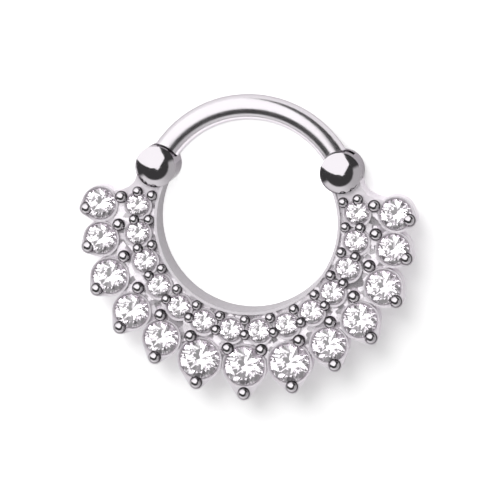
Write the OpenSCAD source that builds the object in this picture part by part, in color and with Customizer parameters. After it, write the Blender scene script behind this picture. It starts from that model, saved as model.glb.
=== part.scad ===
// Hinged hoop: a round bar that swings on a pin in the left barrel and clicks into the right barrel,
// over a flat crescent with two rows of round stones held by polished prong beads.
// It lies on its flat back. +Z runs along the hoop's axis, out of the stones, and +Y towards the bar's crown.

/* [Bar] */
// Diameter of the round bar
bar_d = 1.2; // [1.0:0.05:1.3]
// Radius of the bar's centreline
bar_ring_r = 4.8; // [4.6:0.05:5.2]
// Height of the bar's centreline above the flat back
bar_z = 0.8; // [0.7:0.05:0.85]

/* [Barrels and hinge] */
// Angle of each barrel up from the bar's horizontal diameter, in degrees
barrel_angle = 23.3; // [20:0.1:26]
// Diameter of each barrel
barrel_d = 1.95; // [1.9:0.05:2.2]
// Height of a barrel's straight side
barrel_h = 1.85; // [1.8:0.05:2.0]
// Height of the dome on a barrel
dome_h = 0.42; // [0.35:0.01:0.6]
// Diameter of the hinge pin
pin_d = 0.50; // [0.4:0.05:0.6]
// Length of the hinge pin, from the flat back
pin_length = 1.50; // [1.3:0.05:1.6]
// Thickness of the bar's flattened tongues
tongue_t = 0.60; // [0.5:0.05:0.7]
// Width of the bar's flattened tongues
tongue_w = 0.90; // [0.7:0.05:0.95]
// Diameter of the eye on the hinge tongue
eye_d = 1.36; // [1.2:0.02:1.4]
// Diameter of the rounded end on the free tongue
knob_d = 0.98; // [0.96:0.01:1.0]
// How far the bar swings open, in degrees
swing = 100; // [90:1:105]
// Clearance between the bar and the barrels
bar_gap = 0.05; // [0.03:0.01:0.07]
// Radial clearance of the eye on the pin
pin_gap = 0.03; // [0.02:0.01:0.05]

/* [Crescent] */
// How far the centre of the stone rows lies below the bar's centre
row_drop = 0.60; // [0.4:0.05:0.8]
// Radius of the crescent's inner edge
hole_r = 4.33; // [4.2:0.01:4.4]
// Radius of the plain web behind the outer stones
web_r = 7.05; // [6.9:0.05:7.1]
// Thickness of the web, below the stone collars
web_t = 1.62; // [1.4:0.01:1.65]
// Height of the stone collars and of the inner rim above the flat back
collar_z = 1.78; // [1.74:0.01:1.80]
// Depth of the scallops that carry the outer stones
scallop_t = 1.08; // [1.0:0.01:1.2]
// Width of the inner rim
rim_w = 0.13; // [0.1:0.01:0.16]
// Metal left round each stone
collar_w = 0.13; // [0.11:0.01:0.14]
// Depth of the sloping cut from the top of each collar down to its stone's girdle
cut_depth = 0.08; // [0.05:0.01:0.1]
// Flat left on top of each collar, outside its cut
land_w = 0.03; // [0.02:0.01:0.05]
// Half angle of the crescent's web, from its lowest point, in degrees
web_half_angle = 97; // [95:0.5:99]
// Half angle of the inner rim, which runs on to the barrels, in degrees
rim_half_angle = 113; // [108:1:115]

/* [Stones] */
// Distance of the inner stones from the row centre
inner_ring_r = 5.28; // [5.25:0.01:5.3]
// Diameter of the inner stones
inner_stone_d = 1.09; // [1.05:0.01:1.1]
// Angle between two inner stones, in degrees
inner_step = 14.88; // [14.8:0.01:15]
// Table width as a share of a stone's diameter
table_share = 0.60; // [0.56:0.01:0.62]
// Crown height as a share of a stone's diameter
crown_share = 0.15; // [0.12:0.01:0.17]
// Pavilion depth as a share of a stone's diameter
pavilion_share = 0.46; // [0.42:0.01:0.46]
// Width over the star facets' outer corners, as a share of a stone's diameter
star_share = 0.80; // [0.78:0.01:0.81]
// Width of the pavilion's ring of corners near the culet, as a share of a stone's diameter
culet_ring_share = 0.22; // [0.2:0.01:0.3]
// Thickness of a stone's girdle
girdle_t = 0.04; // [0.03:0.01:0.06]
// Clearance between a stone and its seat
seat_gap = 0.02; // [0.01:0.01:0.03]

/* [Prong beads] */
// Diameter of the tip beads and of the beads between outer stones
large_bead_d = 0.60; // [0.55:0.01:0.65]
// Diameter of the beads along the inner stones
small_bead_d = 0.50; // [0.45:0.01:0.54]
// Height of the beads' centres above the flat back
bead_z = 1.80; // [1.75:0.01:1.9]
// How far each bead sinks into the crescent, as a share of its diameter
bead_sink = 0.7; // [0.6:0.05:0.8]
// Diameter of the post below each bead, as a share of the bead's diameter
bead_post_share = 0.94; // [0.9:0.01:0.96]
// Distance of the beads between outer stones from the row centre
junction_ring_r = 6.16; // [6.1:0.01:6.2]
// Distance of the last beads, beside the end stones, from the row centre
end_bead_ring_r = 6.12; // [6.05:0.01:6.15]
// How far each bead between outer stones sits from their middle towards the lowest stone, in degrees
junction_lead = 1.4; // [1:0.1:1.6]
// Distance of the beads outside the inner stones from the row centre
outer_bead_ring_r = 5.41; // [5.38:0.01:5.45]
// Distance of the beads inside the inner stones from the row centre
inner_bead_ring_r = 4.70; // [4.68:0.01:4.75]
// Angle of the last bead beside each end stone, in degrees
end_bead_angle = 99.4; // [99:0.1:100]
// Angle of the last pair of beads beside the inner stones, in degrees
inner_end_angle = 103.7; // [103:0.1:104.5]

/* [Hidden] */
// One row for each outer stone from the lowest one to the right end, mirrored for the left side:
// stone angle and distance from the row centre, stone diameter, tip bead angle and distance
OUTER = [
  [ 0.0, 6.95, 1.90,  0.0, 8.24],
  [17.9, 7.05, 1.90, 16.5, 8.14],
  [35.0, 7.03, 1.64, 33.0, 7.95],
  [50.6, 7.10, 1.64, 48.8, 8.02],
  [66.3, 7.17, 1.64, 64.1, 7.97],
  [81.4, 7.08, 1.48, 79.3, 7.74],
  [95.0, 7.10, 1.48, 93.0, 7.72],
];
half_outer = len(OUTER) - 1;
outer_count = 2 * half_outer + 1;
inner_count = 14;
numbers = ["01", "02", "03", "04", "05", "06", "07", "08", "09", "10", "11", "12", "13", "14"];
$fn = 64;
eps = 0.01;
// How far two solids of one piece run into each other
overlap = 0.3;

bar_r = bar_d / 2;
barrel_r = barrel_d / 2;
tip_wall = 0.06;
row_centre = [0, -row_drop];
hinge_at = bar_ring_r * [-cos(barrel_angle), sin(barrel_angle)];
catch_at = bar_ring_r * [cos(barrel_angle), sin(barrel_angle)];
// Angle that a barrel and its clearance cover along the bar
barrel_span = 2 * asin((barrel_r + bar_gap) / 2 / bar_ring_r);
crown_y = bar_ring_r + bar_r;
lowest_y = -row_drop - OUTER[0][4] - large_bead_d / 2 - tip_wall;
mid_y = (crown_y + lowest_y) / 2;
girdle_z = collar_z - cut_depth - girdle_t / 2;

// A point at a distance and an angle, measured from straight down, positive to the right
function on_ring(angle, r) = row_centre + r * [sin(angle), -cos(angle)];
function heading(angle) = [cos(angle), sin(angle)];
function outer_row(i) = OUTER[abs(i - half_outer)];
function outer_side(i) = sign(i - half_outer);
function outer_at(i) = on_ring(outer_side(i) * outer_row(i)[0], outer_row(i)[1]);
function outer_d(i) = outer_row(i)[2];
function tip_at(i) = on_ring(outer_side(i) * outer_row(i)[3], outer_row(i)[4]);
function inner_at(i) = on_ring((i - (inner_count - 1) / 2) * inner_step, inner_ring_r);
// A bead sits just before the middle of each pair of outer stones, and one past each end stone
function junction_angle(k) = (OUTER[k][0] + OUTER[k + 1][0]) / 2 - junction_lead;
// Beads flank each inner stone, and the last pair stands a little further out
function inner_bead_angle(i) =
  abs(i - inner_count / 2) == inner_count / 2
    ? sign(i - inner_count / 2) * inner_end_angle
    : (i - inner_count / 2) * inner_step;

// Origin: middle of the hoop's outline, on the flat back
module placed() {
  translate([0, -mid_y, 0]) children();
}

// A round brilliant with its girdle's middle at the origin and its table up
module brilliant(d) {
  r = d / 2;
  table_r = r * table_share;
  star_r = r * star_share;
  pavilion_r = r * culet_ring_share;
  top = girdle_t / 2;
  table_z = top + d * crown_share;
  culet_z = -top - d * pavilion_share;
  half_facet = cos(22.5);
  star_z = table_z - (star_r * half_facet - table_r) * (table_z - top) / (r - table_r);
  pavilion_z = culet_z + pavilion_r * half_facet * (-top - culet_z) / r;
  ring = function (n, start, radius, z)
    [for (i = [0 : n - 1]) [radius * cos(start + i * 360 / n), radius * sin(start + i * 360 / n), z]];
  points = concat(
    ring(8, 0, table_r, table_z), ring(8, 22.5, star_r, star_z),
    ring(16, 0, r, top), ring(16, 0, r, -top),
    ring(8, 22.5, pavilion_r, pavilion_z), [[0, 0, culet_z]]);
  table = function (k) k % 8;
  star = function (k) 8 + (k + 8) % 8;
  upper = function (k) 16 + k % 16;
  lower = function (k) 32 + k % 16;
  pavilion = function (k) 48 + (k + 8) % 8;
  culet = 56;
  faces = concat(
    [[for (k = [7 : -1 : 0]) k]],
    [for (k = [0 : 7]) [table(k), table(k + 1), star(k)]],
    [for (k = [0 : 7]) [table(k), star(k), upper(2 * k), star(k - 1)]],
    [for (k = [0 : 7]) each [[star(k), upper(2 * k + 1), upper(2 * k)],
                             [star(k), upper(2 * k + 2), upper(2 * k + 1)]]],
    [for (j = [0 : 15]) [upper(j), upper(j + 1), lower(j + 1), lower(j)]],
    [for (k = [0 : 7]) each [[pavilion(k), lower(2 * k), lower(2 * k + 1)],
                             [pavilion(k), lower(2 * k + 1), lower(2 * k + 2)]]],
    [for (k = [0 : 7]) [culet, pavilion(k - 1), lower(2 * k), pavilion(k)]]);
  polyhedron(points, faces);
}

// The hollow that a stone needs: a cone below the girdle, and the crown's shape above it
module seat(d) {
  r = d / 2;
  top = girdle_t / 2;
  wall_r = r + seat_gap;
  // The crown's facets bulge past the cone from girdle to table by less than this share of the diameter
  bulge = 0.03;
  crown_top = top + d * (crown_share + bulge) + seat_gap;
  rotate_extrude()
    polygon([
      [0, -top - d * pavilion_share - 1.5 * seat_gap],
      [wall_r, -top - 0.6 * seat_gap],
      [wall_r, top + seat_gap],
      [r * table_share + seat_gap, crown_top],
      [0, crown_top]]);
}

// The sloping cut round a stone, from the top of its collar down to its girdle
module bright_cut(at, d) {
  translate([at[0], at[1], collar_z - cut_depth])
    cylinder(h = cut_depth + eps, r1 = d / 2 + seat_gap, r2 = d / 2 + collar_w - land_w);
}

// A drop outline: a large circle round a stone and a small one round its tip bead, with tangent sides
module drop(a, ra, b, rb) {
  span = norm(b - a);
  along = atan2(b[1] - a[1], b[0] - a[0]);
  lean = acos((ra - rb) / span);
  translate(a) circle(ra);
  translate(b) circle(rb);
  polygon([
    a + ra * heading(along + lean), b + rb * heading(along + lean),
    b + rb * heading(along - lean), a + ra * heading(along - lean)]);
}

// A ball on a short post, which is a little thinner and ends inside the crescent
module bead(at, d) {
  post_d = bead_post_share * d;
  translate([at[0], at[1], bead_z - bead_sink * d]) cylinder(h = bead_sink * d, d = post_d);
  translate([at[0], at[1], bead_z]) sphere(d = d);
}

module beads() {
  for (i = [0 : outer_count - 1]) bead(tip_at(i), large_bead_d);
  for (side = [-1, 1]) {
    for (k = [0 : half_outer - 1]) bead(on_ring(side * junction_angle(k), junction_ring_r), large_bead_d);
    bead(on_ring(side * end_bead_angle, end_bead_ring_r), large_bead_d);
  }
  for (i = [0 : inner_count]) {
    bead(on_ring(inner_bead_angle(i), outer_bead_ring_r), small_bead_d);
    bead(on_ring(inner_bead_angle(i), inner_bead_ring_r), small_bead_d);
  }
}

// A band about the row centre, centred on straight down, that reaches in past the hole's edge
module arc_band(outer_r, half_angle, h) {
  inner_r = hole_r - overlap;
  translate([row_centre[0], row_centre[1], 0])
    rotate([0, 0, -90 - half_angle])
      rotate_extrude(angle = 2 * half_angle)
        translate([inner_r, 0]) square([outer_r - inner_r, h]);
}

// Joins the web's end to a barrel, with a concave outer edge that runs down to the end scallop
module neck(side) {
  edge = [[4.10, -0.80], [3.80, 1.10], [4.10, 1.90], [5.30, 1.60], [5.43, 1.20], [5.66, 0.90],
          [6.05, 0.72], [6.60, 0.62], [6.70, -0.60]];
  linear_extrude(web_t) polygon([for (p = edge) [side * p[0], p[1]]]);
}

// The flat crescent: web, rim, scallops and the collars of the inner stones, round one clean hole
module crescent() {
  difference() {
    union() {
      arc_band(web_r, web_half_angle, web_t);
      arc_band(hole_r + rim_w, rim_half_angle, collar_z);
      for (side = [-1, 1]) neck(side);
      for (i = [0 : outer_count - 1])
        translate([0, 0, collar_z - scallop_t]) linear_extrude(scallop_t)
          drop(outer_at(i), outer_d(i) / 2 + collar_w, tip_at(i), large_bead_d / 2 + tip_wall);
      for (i = [0 : inner_count - 1])
        translate([inner_at(i)[0], inner_at(i)[1], web_t - overlap])
          cylinder(h = collar_z - web_t + overlap, d = inner_stone_d + 2 * collar_w);
    }
    translate([row_centre[0], row_centre[1], -1]) cylinder(h = collar_z + 2, r = hole_r);
    for (i = [0 : outer_count - 1]) bright_cut(outer_at(i), outer_d(i));
    for (i = [0 : inner_count - 1]) bright_cut(inner_at(i), inner_stone_d);
  }
}

module barrel(at) {
  dome_r = (barrel_r * barrel_r + dome_h * dome_h) / (2 * dome_h);
  translate([at[0], at[1], 0]) {
    cylinder(h = barrel_h, r = barrel_r);
    intersection() {
      translate([0, 0, barrel_h - overlap]) cylinder(h = dome_h + 2 * overlap, r = barrel_r);
      translate([0, 0, barrel_h + dome_h - dome_r]) sphere(r = dome_r);
    }
  }
}

// Room for the eye and for the hinge tongue over its whole swing
module hinge_slot() {
  closed = 90 - barrel_angle;
  reach = 2;
  half_w = tongue_w / 2 + bar_gap;
  translate([hinge_at[0], hinge_at[1], bar_z - tongue_t / 2 - bar_gap])
    linear_extrude(tongue_t + 2 * bar_gap) {
      circle(d = eye_d + 2 * bar_gap);
      polygon([
        half_w * heading(closed - 90), half_w * heading(closed - 90) + reach * heading(closed - 10),
        2 * reach * heading(closed + swing / 2),
        half_w * heading(closed + swing + 90) + reach * heading(closed + swing + 5),
        half_w * heading(closed + swing + 90)]);
    }
  translate([hinge_at[0], hinge_at[1], -1]) cylinder(h = pin_length + 1 + 2 * eps, d = pin_d + 2 * eps);
}

// Room for the free tongue, open towards the crown so that the bar lifts straight out
module catch_slot() {
  inward = 90 + barrel_angle;
  reach = 2;
  half_w = knob_d / 2 + bar_gap;
  translate([catch_at[0], catch_at[1], bar_z - tongue_t / 2 - bar_gap])
    linear_extrude(tongue_t + 2 * bar_gap) {
      circle(r = half_w);
      polygon([
        [half_w, 0], [half_w, reach], [-reach, 2 * reach],
        half_w * heading(inward + 90) + reach * heading(inward + 8),
        half_w * heading(inward + 90)]);
    }
}

// Crescent, barrels and prong beads, cast as one piece
module setting() {
  color("gainsboro") placed() difference() {
    union() {
      crescent();
      beads();
      barrel(hinge_at);
      barrel(catch_at);
    }
    for (i = [0 : outer_count - 1])
      translate([outer_at(i)[0], outer_at(i)[1], girdle_z]) seat(outer_d(i));
    for (i = [0 : inner_count - 1])
      translate([inner_at(i)[0], inner_at(i)[1], girdle_z]) seat(inner_stone_d);
    hinge_slot();
    catch_slot();
  }
}

module hinge_pin() {
  color("silver") placed()
    translate([hinge_at[0], hinge_at[1], 0]) cylinder(h = pin_length, d = pin_d);
}

// Flat stretch of the bar's ring between two angles
module tongue(from, to) {
  rotate([0, 0, from]) rotate_extrude(angle = to - from)
    translate([bar_ring_r - tongue_w / 2, bar_z - tongue_t / 2]) square([tongue_w, tongue_t]);
}

module hinged_bar() {
  tongue_run = 3;
  color("gainsboro") placed() difference() {
    union() {
      difference() {
        rotate([0, 0, barrel_angle]) rotate_extrude(angle = 180 - 2 * barrel_angle)
          translate([bar_ring_r, bar_z]) circle(r = bar_r);
        for (at = [hinge_at, catch_at])
          translate([at[0], at[1], -1]) cylinder(h = bar_z + 3, r = barrel_r + bar_gap);
      }
      tongue(barrel_angle, barrel_angle + barrel_span + tongue_run);
      tongue(180 - barrel_angle - barrel_span - tongue_run, 180 - barrel_angle);
      translate([catch_at[0], catch_at[1], bar_z - tongue_t / 2]) cylinder(h = tongue_t, d = knob_d);
      translate([hinge_at[0], hinge_at[1], bar_z - tongue_t / 2]) cylinder(h = tongue_t, d = eye_d);
    }
    translate([hinge_at[0], hinge_at[1], -1]) cylinder(h = bar_z + 3, r = pin_d / 2 + pin_gap);
  }
}

module outer_stone(i) {
  color("white") placed()
    translate([outer_at(i)[0], outer_at(i)[1], girdle_z]) brilliant(outer_d(i));
}

module inner_stone(i) {
  color("white") placed()
    translate([inner_at(i)[0], inner_at(i)[1], girdle_z]) brilliant(inner_stone_d);
}

setting();
hinge_pin();
hinged_bar();
for (i = [0 : outer_count - 1])
  outer_stone(i);
for (i = [0 : inner_count - 1])
  inner_stone(i);
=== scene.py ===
import math

import bpy
from mathutils import Matrix, Vector

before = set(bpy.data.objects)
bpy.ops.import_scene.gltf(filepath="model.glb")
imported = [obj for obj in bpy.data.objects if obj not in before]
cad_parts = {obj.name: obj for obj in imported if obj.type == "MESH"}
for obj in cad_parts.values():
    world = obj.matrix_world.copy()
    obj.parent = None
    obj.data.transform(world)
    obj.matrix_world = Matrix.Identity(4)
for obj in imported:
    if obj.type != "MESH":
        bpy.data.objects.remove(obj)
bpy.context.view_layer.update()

MM = 0.001

# Camera: its distance from the bar circle's centre, how far it stands to the right and towards the bar's crown,
# its roll, and how large a millimetre at that centre is in the picture
BAR_CENTRE = Vector((0.0, 1.90, 0.80))
CAMERA_DISTANCE = 150.0
CAMERA_SIDE_TILT = 8.0
CAMERA_UP_TILT = 8.0
CAMERA_ROLL = 1.0
PIXELS_PER_MM = 21.0
PICTURE_SIDE = 497
# Where the bar circle's centre falls in the picture, in pixels from its top left corner
BAR_CENTRE_PIXEL = (249.8, 207.0)
SENSOR_WIDTH = 36.0
# Nearest and furthest distance that the camera sees, in metres
CAMERA_CLIP = (0.001, 10.0)

# Directions: to the right as the stones are seen, from the stones to the bar, and off the floor
RIGHT = (1.0, 0.0, 0.0)
CROWNWARDS = (0.0, 1.0, 0.0)
UP = (0.0, 0.0, 1.0)

# The object's own places: the hole, the barrels, and the heights of the seats, the web and the collars
HOLE_CENTRE = (0.0, 1.30, 0.0)
HOLE_RADIUS = 4.33
BARREL_AXES = ((-4.4085, 3.7986, 0.0), (4.4085, 3.7986, 0.0))
BARREL_RADIUS = 0.975
SEAT_TOP = 1.57
WEB_TOP = 1.62
COLLAR_TOP = 1.78

# Each mask on the setting goes from 0 at its first number to 1 at its second. These are distances from the
# barrels' axes or the hole's centre, heights, and a place along y.
BARREL_EDGE = (BARREL_RADIUS + 0.02, BARREL_RADIUS + 0.005)
BEAD_FOOT = (COLLAR_TOP, COLLAR_TOP + 0.01)
WEB_FROM = (WEB_TOP - 0.03, WEB_TOP - 0.01)
WEB_TO = (WEB_TOP + 0.05, WEB_TOP + 0.02)
# The web carries cut facets up to here; the necks to the barrels beyond are plain
FACETS_END_Y = (2.1, 1.9)
SEAT_RIM = (SEAT_TOP - 0.04, SEAT_TOP)
HOLE_EDGE = (HOLE_RADIUS + 0.06, HOLE_RADIUS + 0.03)
# These say how far a face is turned upwards: 0 for an upright wall, 1 for a flat top
FLAT = (0.85, 0.95)
NOT_FLAT = (0.85, 0.80)
NOT_UPRIGHT = (0.2, 0.3)
STEEP = (0.5, 0.3)
BEAD_CROWN = (0.25, 0.95)

# Green is a little weaker than red and blue in every metal and stone
LAVENDER = 0.95
# How much steel reflects at a glancing angle
STEEL_EDGE = (0.45, 0.43, 0.45, 1.0)
# Satin steel scatters some of its light like paper; this share it reflects like metal
SATIN_METAL = 0.5
# How near the cut facets come to a mirror's polish
FACET_POLISH = 0.4

# Painted shade in the steel's crevices: how open a spot is where it is painted dark and where it is unshaded,
# then both tones
BAR_TONES = (0.2, 0.7, 0.35, 0.72)
SATIN_TONES = (0.15, 0.75, 0.58, 0.75)
BARREL_TONES = (0.15, 0.75, 0.40, 0.65)
BEAD_TONES = (0.30, 0.85, 0.03, 0.70)
# How far round a spot that shade looks, and with how many rays
BAR_CREVICE = 0.2
SETTING_CREVICE = 0.25
CREVICE_RAYS = 8
# Tones of the setting's other faces, painted lighter or darker by where a face lies and which way it turns, for
# how light falls there. The low ones are the seats and the outer walls.
LOW_TONE = 0.95
BEVEL_TONE = 0.90
FACET_TONE = 0.85
TOP_TONE = 0.80
# The hole wall's tone is painted shade
HOLE_WALL_PAINTED_SHADE = 0.40
# The bead sides' tone is a painted dark reflection, nearly black
BEAD_SIDE_PAINTED_DARK = (0.04, 0.04, 0.04, 1.0)

# Noises: waves along a millimetre, number of ever finer waves on them, and how strong those are
HAZE = (0.9, 6.0, 0.6)
WAVINESS = (0.4, 2.0, 0.5)
GRAIN = (6.0, 5.0, 0.6)
SMEAR = (1.5, 4.0, 0.5)
# Roughness where the noise is low and where it is high
NOISE_RANGE = (0.3, 0.7)
BAR_ROUGHNESS = (0.20, 0.27)
SATIN_ROUGHNESS = (0.36, 0.52)
MIRROR_ROUGHNESS = (0.08, 0.12)

# Relief: how many facets lie along a millimetre and how far they lean, and the bumps' strength and depth
FACETS_PER_MM = 3.4
FACET_LEAN = 0.5
BAR_BUMP = (0.05, 0.02)
SETTING_BUMP = (0.08, 0.01)

# Stones: cubic zirconia, with a painted glow: a breath of light of their own that stands in for the glow of many
# facets
STONE_TONE = 0.92
STONE_IOR = 2.18
STONE_PAINTED_GLOW = 0.025
# The noise at which a smear begins and is full, and the roughness there
SMEAR_RANGE = (0.45, 0.75)
STONE_ROUGHNESS = (0.0, 0.03)

# Sky: three planes through the hoop bound the softbox, in front, at the right and low behind on the right.
# Each is given by the direction that it faces. A direction's lean towards another goes from -1 to 1.
SOFTBOX_PLANES = ((0.18, 0.95, 0.22), (-0.838, 0.493, 0.237), (-0.72, -0.14, 0.68))
SOFTBOX_EDGE = (-0.02, 0.02)
SOFTBOX_STRENGTH = 1.45
ROOM_STRENGTH = 0.06
# A pale wall runs round the front and the right, and starts where a direction leans this far towards it
WALL_FACING = (0.47, -0.88, 0.0)
WALL_START = (0.0, 0.25)
# Its top rises to the right, where it is also less bright
WALL_TOP_FACING = (-0.15, 0.0, 1.0)
WALL_TOP_EDGE = (0.56, 0.44)
WALL_DIMS = (-0.2, 0.8)
WALL_STRENGTHS = (1.0, 0.6)

# A soft key light inside the softbox throws the shadow to the lower right
KEY_AZIMUTH = 114.0
KEY_ELEVATION = 50.0
KEY_SPREAD = 35.0
KEY_STRENGTH = 1.3

# Floor: its radius in metres, its colour, and a faint light of its own that keeps it white
FLOOR_RADIUS = 0.6
FLOOR_SIDES = 96
FLOOR_COLOUR = 0.93
FLOOR_ROUGHNESS = 0.8
FLOOR_SHINE = 0.1
FLOOR_GLOW = 0.18
# A painted pool of light on the floor: a brighter glow inside the hoop's hole, and how far from its centre it
# fades in
PATCH_CENTRE = (0.0, 1.6, 0.0)
PATCH_EDGE = (4.6, 4.3)
PATCH_GLOW = 0.68


def node(tree, kind, **values):
    """A new shader node; values set its properties, or its inputs by name."""
    made = tree.nodes.new(kind)
    for name, value in values.items():
        if hasattr(made, name):
            setattr(made, name, value)
        else:
            made.inputs[name.replace("_", " ")].default_value = value
    return made


def feed(tree, target, value):
    """Sets an input to a plain value, or links it to a socket."""
    if isinstance(value, bpy.types.NodeSocket):
        tree.links.new(value, target)
    else:
        target.default_value = value


def maths(tree, operation, *values):
    """Socket of a sum on numbers or sockets."""
    made = node(tree, "ShaderNodeMath", operation=operation)
    for target, value in zip(made.inputs, values):
        feed(tree, target, value)
    return made.outputs["Value"]


def product(tree, *factors):
    """Socket of the product of some sockets."""
    total = factors[0]
    for factor in factors[1:]:
        total = maths(tree, "MULTIPLY", total, factor)
    return total


def opposite(tree, share):
    """Socket of 1 less a share."""
    return maths(tree, "SUBTRACT", 1.0, share)


def vector_maths(tree, operation, *values):
    """Socket of a sum on vectors or sockets: a number for a distance or dot product, otherwise a vector."""
    made = node(tree, "ShaderNodeVectorMath", operation=operation)
    for target, value in zip(made.inputs, values):
        feed(tree, target, value)
    return made.outputs["Value" if operation in ("DISTANCE", "DOT_PRODUCT") else "Vector"]


def ramp(tree, value, ends, levels=(0.0, 1.0)):
    """Socket that runs smoothly from one level to the other as value runs from one end to the other."""
    made = node(
        tree, "ShaderNodeMapRange", interpolation_type="SMOOTHSTEP",
        From_Min=ends[0], From_Max=ends[1], To_Min=levels[0], To_Max=levels[1])
    feed(tree, made.inputs["Value"], value)
    return made.outputs["Result"]


def colour_mix(tree, share, low, high):
    """Socket of a colour that runs from low to high as share goes from 0 to 1."""
    mix = node(tree, "ShaderNodeMix", data_type="RGBA")
    feed(tree, mix.inputs["Factor"], share)
    ends = [socket for socket in mix.inputs if socket.type == "RGBA"]
    for end, value in zip(ends, (low, high)):
        feed(tree, end, value)
    return next(socket for socket in mix.outputs if socket.type == "RGBA")


def number_mix(tree, share, low, high):
    """Socket of a number that runs from low to high as share goes from 0 to 1."""
    mix = node(tree, "ShaderNodeMix", data_type="FLOAT")
    feed(tree, mix.inputs["Factor"], share)
    feed(tree, mix.inputs["A"], low)
    feed(tree, mix.inputs["B"], high)
    return mix.outputs["Result"]


def tint(tone):
    """Colour of metal or stone of a tone from 0, black, to 1."""
    return (tone, tone * LAVENDER, tone, 1.0)


def new_material(name):
    """A material with an empty node tree, its Principled shader and its output."""
    material = bpy.data.materials.new(name)
    material.use_nodes = True
    tree = material.node_tree
    tree.nodes.clear()
    shader = node(tree, "ShaderNodeBsdfPrincipled")
    output = node(tree, "ShaderNodeOutputMaterial")
    tree.links.new(shader.outputs["BSDF"], output.inputs["Surface"])
    return material, tree, shader


def millimetres(tree):
    """Socket of the place on the object, in millimetres."""
    where = node(tree, "ShaderNodeTexCoord").outputs["Object"]
    return vector_maths(tree, "MULTIPLY", where, (1 / MM, 1 / MM, 1 / MM))


def plan_distance(tree, place, axis):
    """Socket of the distance from an upright axis, which goes through a point at height 0."""
    in_plan = vector_maths(tree, "MULTIPLY", place, (1.0, 1.0, 0.0))
    return vector_maths(tree, "DISTANCE", in_plan, axis)


def noise(tree, place, waves):
    """Socket of a smooth noise, mostly between 0.3 and 0.7."""
    scale, detail, roughness = waves
    made = node(tree, "ShaderNodeTexNoise", Scale=scale, Detail=detail, Roughness=roughness)
    feed(tree, made.inputs["Vector"], place)
    return made.outputs["Fac"]


def openness(tree, reach):
    """Socket of how open a spot is to all sides within a reach, from 0 to 1."""
    return node(tree, "ShaderNodeAmbientOcclusion", samples=CREVICE_RAYS, Distance=reach * MM).outputs["AO"]


def steel_tone_painted_shade(tree, opening, tones):
    """Socket of a steel's colour with painted shade: painted dark in crevices, where a spot isn't open, and
    unshaded where it is.
    """
    tone = node(tree, "ShaderNodeValToRGB")
    dark_end, unshaded_end = tone.color_ramp.elements
    dark_end.position, unshaded_end.position, dark, unshaded = tones
    dark_end.color, unshaded_end.color = tint(dark), tint(unshaded)
    tree.links.new(opening, tone.inputs["Fac"])
    return tone.outputs["Color"]


def bumped(tree, relief, bump, normal=None):
    """Socket of the face's own normal, or of another, tilted by a fine relief."""
    strength, depth = bump
    made = node(tree, "ShaderNodeBump", Strength=strength, Distance=depth * MM)
    feed(tree, made.inputs["Height"], relief)
    if normal is not None:
        feed(tree, made.inputs["Normal"], normal)
    return made.outputs["Normal"]


def polished_steel():
    """Mirror-polished steel of the bar and the pin: fine polishing haze, faint waviness, and painted shade that
    makes its edges darker in crevices.
    """
    material, tree, shader = new_material("polished_steel")
    shader.inputs["Metallic"].default_value = 1.0
    shader.inputs["Specular Tint"].default_value = STEEL_EDGE
    place = millimetres(tree)
    # Painted shade: the colour is darker where a spot isn't open
    feed(tree, shader.inputs["Base Color"], steel_tone_painted_shade(tree, openness(tree, BAR_CREVICE), BAR_TONES))
    feed(tree, shader.inputs["Roughness"], ramp(tree, noise(tree, place, HAZE), NOISE_RANGE, BAR_ROUGHNESS))
    feed(tree, shader.inputs["Normal"], bumped(tree, noise(tree, place, WAVINESS), BAR_BUMP))
    return material


def setting_masks(tree, place, height):
    """Sockets of where the setting is a barrel, a bead, and web with cut facets, from 0 to 1."""
    to_barrels = [plan_distance(tree, place, axis) for axis in BARREL_AXES]
    barrel = ramp(tree, maths(tree, "MINIMUM", *to_barrels), BARREL_EDGE)
    bead = product(tree, ramp(tree, height, BEAD_FOOT), opposite(tree, barrel))
    y = vector_maths(tree, "DOT_PRODUCT", place, CROWNWARDS)
    facet = product(
        tree, opposite(tree, barrel), opposite(tree, bead),
        ramp(tree, height, WEB_FROM), ramp(tree, height, WEB_TO), ramp(tree, y, FACETS_END_Y))
    return barrel, bead, facet


def setting_colour(tree, place, height, straight, barrel, bead, facet):
    """Socket of the setting's colour, painted with light and shade: seats and facets painted bright, a hole wall
    painted dark, and beads with painted dark feet.
    """
    opening = openness(tree, SETTING_CREVICE)
    upward = vector_maths(tree, "DOT_PRODUCT", straight, UP)
    above_seat = ramp(tree, height, SEAT_RIM)
    top = product(tree, ramp(tree, upward, FLAT), above_seat)
    bevel = product(tree, ramp(tree, upward, NOT_FLAT), ramp(tree, upward, NOT_UPRIGHT), above_seat)
    # Painted shade on the steep wall round the hole
    hole_wall = product(
        tree, ramp(tree, plan_distance(tree, place, HOLE_CENTRE), HOLE_EDGE), ramp(tree, upward, STEEP))
    # Painted dark reflection: the bead turns nearly black where its sides lean away from straight up
    bead_painted_dark = colour_mix(
        tree, ramp(tree, upward, BEAD_CROWN), BEAD_SIDE_PAINTED_DARK, steel_tone_painted_shade(tree, opening, BEAD_TONES))

    # Painted light and shade: each face gets its tone from where it lies and which way it turns
    colour = colour_mix(tree, top, steel_tone_painted_shade(tree, opening, SATIN_TONES), tint(TOP_TONE))
    colour = colour_mix(tree, bevel, colour, tint(BEVEL_TONE))
    colour = colour_mix(tree, above_seat, tint(LOW_TONE), colour)
    colour = colour_mix(tree, facet, colour, tint(FACET_TONE))
    colour = colour_mix(tree, barrel, colour, steel_tone_painted_shade(tree, opening, BARREL_TONES))
    colour = colour_mix(tree, bead, colour, bead_painted_dark)
    return colour_mix(tree, hole_wall, colour, tint(HOLE_WALL_PAINTED_SHADE))


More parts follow.
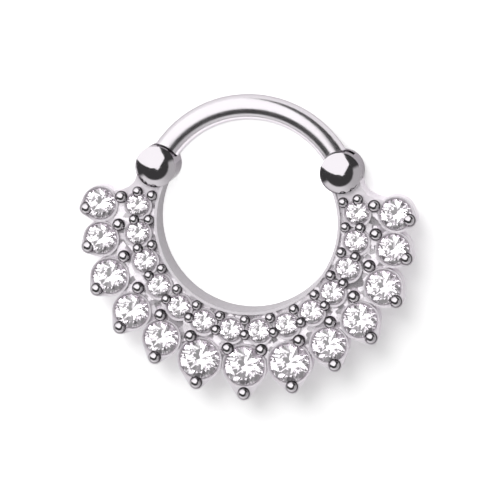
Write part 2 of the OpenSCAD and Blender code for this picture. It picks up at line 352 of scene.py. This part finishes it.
def faceted(tree, place, straight, facet):
    """Socket of the straight normal, which leans another way in each small cell where facet is 1."""
    cells = node(tree, "ShaderNodeTexVoronoi", Scale=FACETS_PER_MM)
    feed(tree, cells.inputs["Vector"], place)
    tilt = vector_maths(tree, "SUBTRACT", cells.outputs["Color"], (0.5, 0.5, 0.5))
    lean = vector_maths(tree, "MULTIPLY", tilt, maths(tree, "MULTIPLY", facet, FACET_LEAN))
    return vector_maths(tree, "NORMALIZE", vector_maths(tree, "ADD", straight, lean))


def setting_steel():
    """Steel of the setting: mirror barrels and beads with painted dark feet, satin walls, and cut facets on the
    web, all coloured with painted light and shade.
    """
    material, tree, shader = new_material("setting_steel")
    shader.inputs["Specular Tint"].default_value = STEEL_EDGE
    place = millimetres(tree)
    height = vector_maths(tree, "DOT_PRODUCT", place, UP)
    straight = node(tree, "ShaderNodeNewGeometry").outputs["Normal"]
    barrel, bead, facet = setting_masks(tree, place, height)
    colour = setting_colour(tree, place, height, straight, barrel, bead, facet)
    feed(tree, shader.inputs["Base Color"], colour)

    mirror = maths(tree, "MAXIMUM", barrel, bead)
    polish = maths(tree, "MAXIMUM", mirror, maths(tree, "MULTIPLY", facet, FACET_POLISH))
    grain = noise(tree, place, GRAIN)
    satin = ramp(tree, grain, NOISE_RANGE, SATIN_ROUGHNESS)
    gloss = ramp(tree, grain, NOISE_RANGE, MIRROR_ROUGHNESS)
    feed(tree, shader.inputs["Roughness"], number_mix(tree, polish, satin, gloss))
    feed(tree, shader.inputs["Metallic"], number_mix(tree, polish, SATIN_METAL, 1.0))

    facets = faceted(tree, place, straight, facet)
    feed(tree, shader.inputs["Normal"], bumped(tree, grain, SETTING_BUMP, facets))
    return material


def clear_stone():
    """Colourless cubic zirconia with a faint painted glow and faint smears."""
    material, tree, shader = new_material("clear_stone")
    shader.inputs["Base Color"].default_value = tint(STONE_TONE)
    shader.inputs["Transmission Weight"].default_value = 1.0
    shader.inputs["IOR"].default_value = STONE_IOR
    shader.inputs["Emission Color"].default_value = tint(1.0)
    # Painted glow: the stone gives a faint light of its own
    shader.inputs["Emission Strength"].default_value = STONE_PAINTED_GLOW
    smear = noise(tree, millimetres(tree), SMEAR)
    feed(tree, shader.inputs["Roughness"], ramp(tree, smear, SMEAR_RANGE, STONE_ROUGHNESS))
    return material


def floor():
    """A plain white floor, wide enough to reach the horizon in every view, with a painted pool of light, a
    brighter glow, in the hole.
    """
    bpy.ops.mesh.primitive_circle_add(
        vertices=FLOOR_SIDES, radius=FLOOR_RADIUS, fill_type="NGON", location=(0, 0, 0))
    made = bpy.context.object
    made.name = "floor"
    material, tree, shader = new_material("floor_white")
    shader.inputs["Base Color"].default_value = (FLOOR_COLOUR, FLOOR_COLOUR, FLOOR_COLOUR, 1.0)
    shader.inputs["Roughness"].default_value = FLOOR_ROUGHNESS
    shader.inputs["Specular IOR Level"].default_value = FLOOR_SHINE
    shader.inputs["Emission Color"].default_value = (1.0, 1.0, 1.0, 1.0)
    off_centre = vector_maths(tree, "DISTANCE", millimetres(tree), PATCH_CENTRE)
    # Painted pool of light: the floor glows brighter inside the hole, washing out the shadow there
    feed(tree, shader.inputs["Emission Strength"], ramp(tree, off_centre, PATCH_EDGE, (FLOOR_GLOW, PATCH_GLOW)))
    made.data.materials.append(material)


def sky():
    """World light: one huge softbox above and behind, a dim room and a pale wall in front."""
    world = bpy.data.worlds.new("studio")
    bpy.context.scene.world = world
    world.use_nodes = True
    tree = world.node_tree
    tree.nodes.clear()
    direction = node(tree, "ShaderNodeTexCoord").outputs["Generated"]

    def leaning(towards, ends, levels=(0.0, 1.0)):
        """Socket that goes from the first level to the second with a direction's lean towards another."""
        return ramp(tree, vector_maths(tree, "DOT_PRODUCT", direction, towards), ends, levels)

    softbox = product(tree, *(leaning(plane, SOFTBOX_EDGE) for plane in SOFTBOX_PLANES))
    overhead = number_mix(tree, softbox, ROOM_STRENGTH, SOFTBOX_STRENGTH)
    wall = product(tree, leaning(WALL_TOP_FACING, WALL_TOP_EDGE), leaning(WALL_FACING, WALL_START))
    wall_light = leaning(RIGHT, WALL_DIMS, WALL_STRENGTHS)
    background = node(tree, "ShaderNodeBackground")
    output = node(tree, "ShaderNodeOutputWorld")
    feed(tree, background.inputs["Color"], number_mix(tree, wall, overhead, wall_light))
    tree.links.new(background.outputs["Background"], output.inputs["Surface"])


def key_light():
    """A broad soft sun that shines from inside the softbox, and isn't mirrored in the steel."""
    data = bpy.data.lights.new("key", "SUN")
    data.energy = KEY_STRENGTH
    data.angle = math.radians(KEY_SPREAD)
    made = bpy.data.objects.new("key", data)
    made.visible_glossy = False
    bpy.context.scene.collection.objects.link(made)
    azimuth, elevation = math.radians(KEY_AZIMUTH), math.radians(KEY_ELEVATION)
    towards = Vector((
        math.cos(azimuth) * math.cos(elevation), math.sin(azimuth) * math.cos(elevation), math.sin(elevation)))
    made.rotation_euler = towards.to_track_quat("Z", "Y").to_euler()


def camera():
    """The photograph's camera: nearly overhead, a little to the right and towards the bar's crown."""
    side, up, roll = (math.radians(a) for a in (CAMERA_SIDE_TILT, CAMERA_UP_TILT, CAMERA_ROLL))
    right = Vector((math.cos(side), 0, -math.sin(side)))
    upward = Vector((-math.sin(side) * math.sin(up), math.cos(up), -math.cos(side) * math.sin(up)))
    back = right.cross(upward)
    place = BAR_CENTRE + CAMERA_DISTANCE * back
    turned_right = math.cos(roll) * right + math.sin(roll) * upward
    turned_up = -math.sin(roll) * right + math.cos(roll) * upward

    # It turns until the bar circle's centre falls on its pixel, off the picture's middle
    middle = PICTURE_SIDE / 2
    aim = (
        BAR_CENTRE
        + (middle - BAR_CENTRE_PIXEL[0]) / PIXELS_PER_MM * turned_right
        - (middle - BAR_CENTRE_PIXEL[1]) / PIXELS_PER_MM * turned_up
    )
    back = (place - aim).normalized()
    turned_right = turned_up.cross(back).normalized()
    turned_up = back.cross(turned_right)

    data = bpy.data.cameras.new("camera")
    data.sensor_width = SENSOR_WIDTH
    data.lens = PIXELS_PER_MM * CAMERA_DISTANCE / PICTURE_SIDE * SENSOR_WIDTH
    data.clip_start, data.clip_end = CAMERA_CLIP
    made = bpy.data.objects.new("camera", data)
    bpy.context.scene.collection.objects.link(made)
    turn = Matrix((turned_right, turned_up, back)).transposed().to_4x4()
    made.matrix_world = Matrix.Translation(place * MM) @ turn
    bpy.context.scene.camera = made


def dress():
    """Gives every CAD node its finish."""
    polished, setting, stone = polished_steel(), setting_steel(), clear_stone()
    for name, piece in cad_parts.items():
        is_stone = "stone" in name
        steel = setting if name == "setting" else polished
        piece.material_slots[0].material = stone if is_stone else steel


camera()
sky()
key_light()
floor()
dress()
bpy.context.scene.view_settings.view_transform = "Standard"
